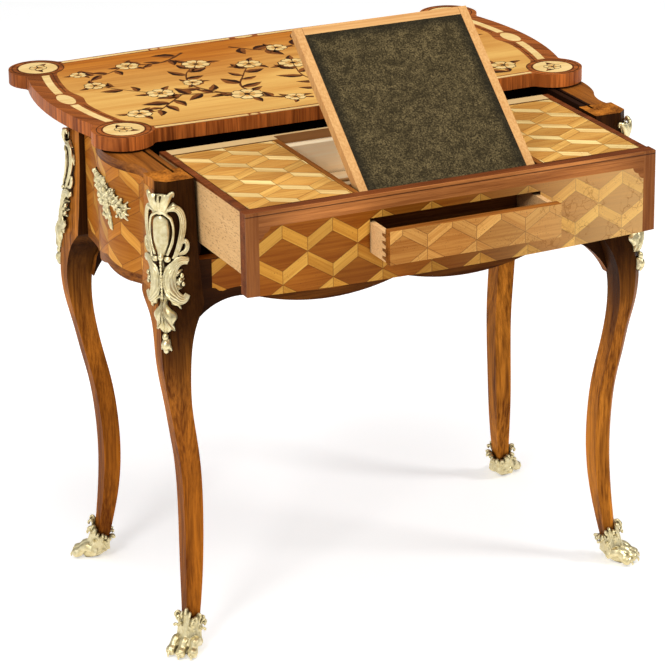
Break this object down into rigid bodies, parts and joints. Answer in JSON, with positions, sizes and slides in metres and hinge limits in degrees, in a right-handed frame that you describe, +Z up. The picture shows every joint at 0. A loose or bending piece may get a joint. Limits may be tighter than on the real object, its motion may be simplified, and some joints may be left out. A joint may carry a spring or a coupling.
{
  "type": "writing table",
  "caption": "Writing table on cabriole legs: the marquetry top slides back and a fitted drawer slides forward to open lidded compartments and a propped leather writing slope.",
  "frame": {"origin": "on the floor, under the middle of the open table", "axes": "+X to the right along the front, +Y to the back, +Z up"},
  "size_m": [0.79, 0.8145, 0.8808],
  "materials": {
    "mahogany": "French-polished",
    "marquetry": "French-polished",
    "parquetry": "French-polished",
    "oak": "waxed",
    "beech": "waxed",
    "leather": "tooled",
    "gilt_bronze": "mercury-gilt",
    "brass": "brushed"
  },
  "bodies": {
    "carcass": {"front_left_leg": "mahogany", "front_left_corner_mount": "gilt_bronze", "front_left_paw": "gilt_bronze", "front_right_leg": "mahogany", "front_right_corner_mount": "gilt_bronze", "front_right_paw": "gilt_bronze", "back_left_leg": "mahogany", "back_left_corner_mount": "gilt_bronze", "back_left_paw": "gilt_bronze", "back_right_leg": "mahogany", "back_right_corner_mount": "gilt_bronze", "back_right_paw": "gilt_bronze", "front_apron": "parquetry", "back_rail": "parquetry", "left_side_rail": "parquetry", "right_side_rail": "parquetry", "left_guide_board": "oak", "right_guide_board": "oak", "drawer_runners": "oak", "dust_board": "oak", "left_side_mount": "gilt_bronze", "right_side_mount": "gilt_bronze"},
    "top": {"top_panel": "marquetry", "top_edge_band": "mahogany", "top_runners": "oak", "runner_screws": "brass"},
    "drawer": {"drawer_front": "parquetry", "front_banding": "mahogany", "drawer_left_side": "oak", "drawer_right_side": "oak", "drawer_back": "oak", "drawer_bottom": "oak", "side_cappings": "mahogany", "left_divider": "oak", "right_divider": "oak", "well_floor": "oak", "drawer_housing_top": "oak", "drawer_housing_back": "oak", "drawer_housing_floor": "oak", "lid_rests": "oak", "ratchet_strips": "oak", "drawer_lugs": "oak", "lid_pins": "brass", "slope_pins": "brass"},
    "left_lid": {"left_lid": "parquetry"},
    "right_lid": {"right_lid": "parquetry"},
    "slope": {"slope_frame": "beech", "slope_panel": "beech", "slope_leather": "leather", "prop_lugs": "beech", "prop_pins": "brass"},
    "prop": {"slope_prop": "beech", "prop_foot": "brass"},
    "small_drawer": {"small_drawer_front": "parquetry", "small_drawer_sides": "oak", "small_drawer_back": "oak", "small_drawer_bottom": "oak"}
  },
  "joints": [
    {"name": "drawer_slide", "type": "slide", "parent": "carcass", "child": "drawer", "axis": [0, 1, 0], "range_m": [0, 0.176]},
    {"name": "top_slide", "type": "slide", "parent": "carcass", "child": "top", "axis": [0, -1, 0], "range_m": [0, 0.184]},
    {"name": "small_drawer_slide", "type": "slide", "parent": "drawer", "child": "small_drawer", "axis": [0, 1, 0], "range_m": [0, 0.062]},
    {"name": "slope_tilt", "type": "hinge", "parent": "drawer", "child": "slope", "pos_m": [0, -0.312, 0.698], "axis": [-1, 0, 0], "range_deg": [-15, 40]},
    {"name": "prop_swing", "type": "hinge", "parent": "slope", "child": "prop", "pos_m": [0, -0.26436, 0.73145], "axis": [-1, 0, 0], "range_deg": [-80, 30]},
    {"name": "left_lid_hinge", "type": "hinge", "parent": "drawer", "child": "left_lid", "pos_m": [-0.224, -0.056, 0.701], "axis": [1, 0, 0], "range_deg": [-100, 0]},
    {"name": "right_lid_hinge", "type": "hinge", "parent": "drawer", "child": "right_lid", "pos_m": [0.224, -0.056, 0.701], "axis": [1, 0, 0], "range_deg": [-100, 0]}
  ],
  "couplings": [
    {"joint": "prop_swing", "follows": "slope_tilt", "ratio": -2}
  ]
}
